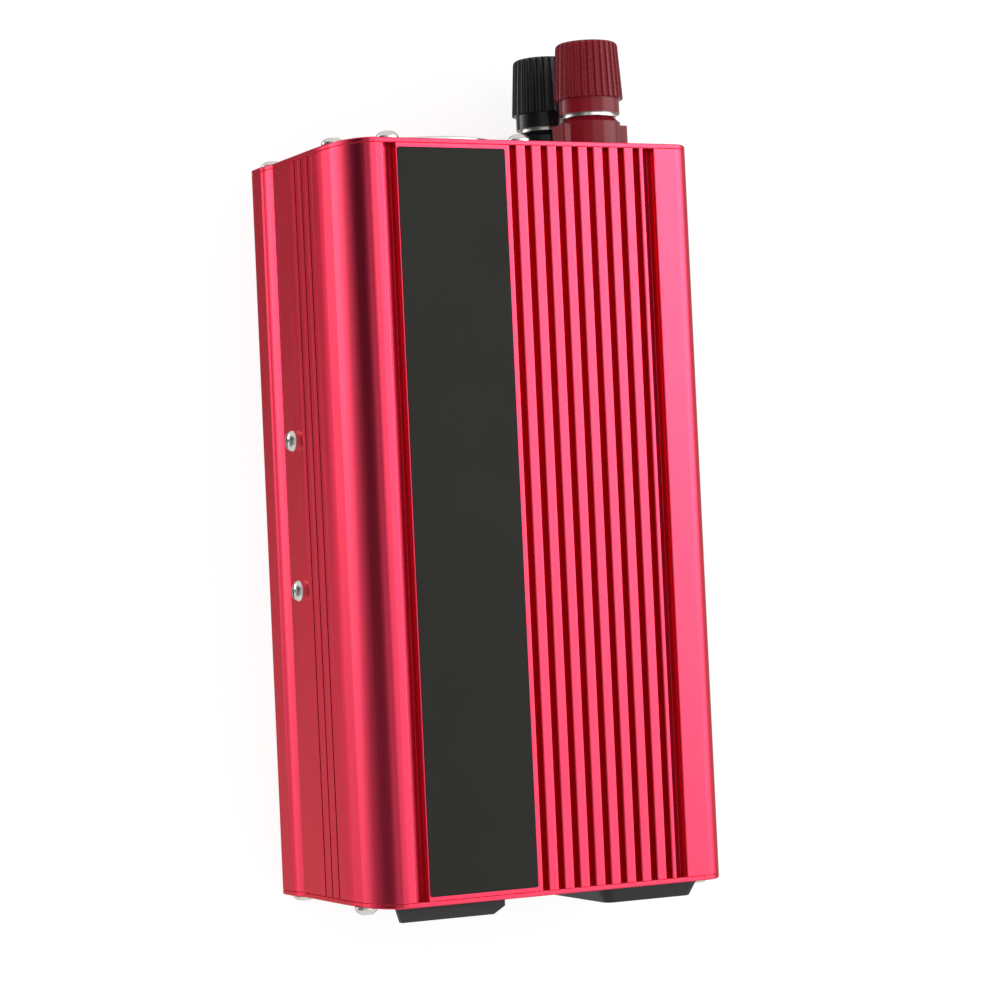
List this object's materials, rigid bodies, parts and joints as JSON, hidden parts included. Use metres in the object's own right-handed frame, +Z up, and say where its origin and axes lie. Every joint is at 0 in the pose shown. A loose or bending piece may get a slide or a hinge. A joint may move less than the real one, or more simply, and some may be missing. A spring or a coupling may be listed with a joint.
{
  "type": "power inverter",
  "caption": "Finned aluminium power inverter with screw-down battery terminals and a fan on one end, and a mains socket, USB outlets and a rocker switch on the other.",
  "frame": {"origin": "middle of the base's underside", "axes": "+Z up out of the finned top, +Y along the case towards the terminal and fan end, +X across the case towards the terminals' side"},
  "size_m": [0.1048, 0.2228, 0.0607],
  "materials": {
    "anodised_case": "satin",
    "anodised_plate": "satin",
    "label_vinyl": "matte",
    "nickel_screws": "polished",
    "chrome_wire": "polished",
    "zinc_steel": "satin",
    "epoxy_black": "satin",
    "thermal_pad": "matte",
    "circuit_board": "satin",
    "bobbin_plastic": "satin",
    "ferrite": "matte",
    "winding_tape": "satin",
    "copper_wire": "gloss",
    "copper_bar": "satin",
    "capacitor_sleeve": "gloss",
    "toroid_coating": "satin",
    "fuse_plastic": "gloss",
    "black_plastic": "satin",
    "fan_plastic": "satin",
    "red_phenolic": "gloss",
    "black_phenolic": "gloss",
    "brass_insert": "satin",
    "nickel_washer": "polished",
    "white_nylon": "satin",
    "contact_brass": "satin",
    "usb_steel": "satin",
    "usb_tongue_plastic": "satin",
    "switch_plastic": "satin",
    "lamp_epoxy": "gloss",
    "lead_insulation": "satin"
  },
  "bodies": {
    "inverter": {"upper_case": "anodised_case", "base_shell": "anodised_case", "fan_end_plate": "anodised_plate", "socket_end_plate": "anodised_plate", "fan_end_screws": "nickel_screws", "socket_end_screws": "nickel_screws", "label_plate": "label_vinyl", "power_transistors": "epoxy_black", "insulating_pads": "thermal_pad", "clamp_bars": "zinc_steel", "clamp_screws": "nickel_screws", "main_circuit_board": "circuit_board", "board_standoffs": "zinc_steel", "board_screws": "zinc_steel", "transformer_cores": "ferrite", "transformer_bobbins": "bobbin_plastic", "transformer_windings": "winding_tape", "input_capacitors": "capacitor_sleeve", "bus_capacitor": "capacitor_sleeve", "choke_core": "toroid_coating", "choke_windings": "copper_wire", "fuse_holders": "bobbin_plastic", "blade_fuses": "fuse_plastic", "driver_board": "circuit_board", "driver_chips": "epoxy_black", "buzzer": "bobbin_plastic", "fan_frame": "fan_plastic", "fan_guard": "chrome_wire", "fan_screws": "nickel_screws", "fan_nuts": "zinc_steel", "connecting_leads": "lead_insulation", "terminal_bushes": "white_nylon", "terminal_studs": "brass_insert", "positive_busbar": "copper_bar", "negative_busbar": "copper_bar", "stud_nuts": "zinc_steel", "socket_housing": "black_plastic", "socket_back_cover": "black_plastic", "socket_contacts": "contact_brass", "usb_bezel": "black_plastic", "usb_shells": "usb_steel", "usb_tongues": "usb_tongue_plastic", "usb_board": "circuit_board", "switch_housing": "switch_plastic", "switch_terminals": "contact_brass", "indicator_lamps": "lamp_epoxy", "red_post_base": "red_phenolic", "black_post_base": "black_phenolic"},
    "red_washer": {"red_clamp_washer": "nickel_washer"},
    "red_cap": {"red_knob": "red_phenolic", "red_knob_insert": "brass_insert"},
    "black_washer": {"black_clamp_washer": "nickel_washer"},
    "black_cap": {"black_knob": "black_phenolic", "black_knob_insert": "brass_insert"},
    "fan_wheel": {"fan_rotor": "fan_plastic"},
    "power_rocker": {"switch_rocker": "switch_plastic"}
  },
  "joints": [
    {"name": "red_knob_lift", "type": "slide", "parent": "inverter", "child": "red_washer", "axis": [0, 1, 0], "range_m": [0, 0.005]},
    {"name": "red_knob_turn", "type": "hinge", "parent": "red_washer", "child": "red_cap", "pos_m": [0.0272, 0.11, 0.04275], "axis": [0, 1, 0], "range_deg": [0, 1800.5]},
    {"name": "black_knob_lift", "type": "slide", "parent": "inverter", "child": "black_washer", "axis": [0, 1, 0], "range_m": [0, 0.005]},
    {"name": "black_knob_turn", "type": "hinge", "parent": "black_washer", "child": "black_cap", "pos_m": [0.0272, 0.11, 0.01775], "axis": [0, 1, 0], "range_deg": [0, 1800.5]},
    {"name": "fan_spin", "type": "hinge", "parent": "inverter", "child": "fan_wheel", "pos_m": [-0.0153, 0.0887, 0.03025], "axis": [0, 1, 0], "continuous": true},
    {"name": "rocker_tilt", "type": "hinge", "parent": "inverter", "child": "power_rocker", "pos_m": [0, -0.0939, 0.022], "axis": [1, 0, 0], "range_deg": [0, 20]}
  ],
  "couplings": [
    {"joint": "red_knob_turn", "follows": "red_knob_lift", "rad_per_m": 6283.2},
    {"joint": "black_knob_turn", "follows": "black_knob_lift", "rad_per_m": 6283.2}
  ]
}
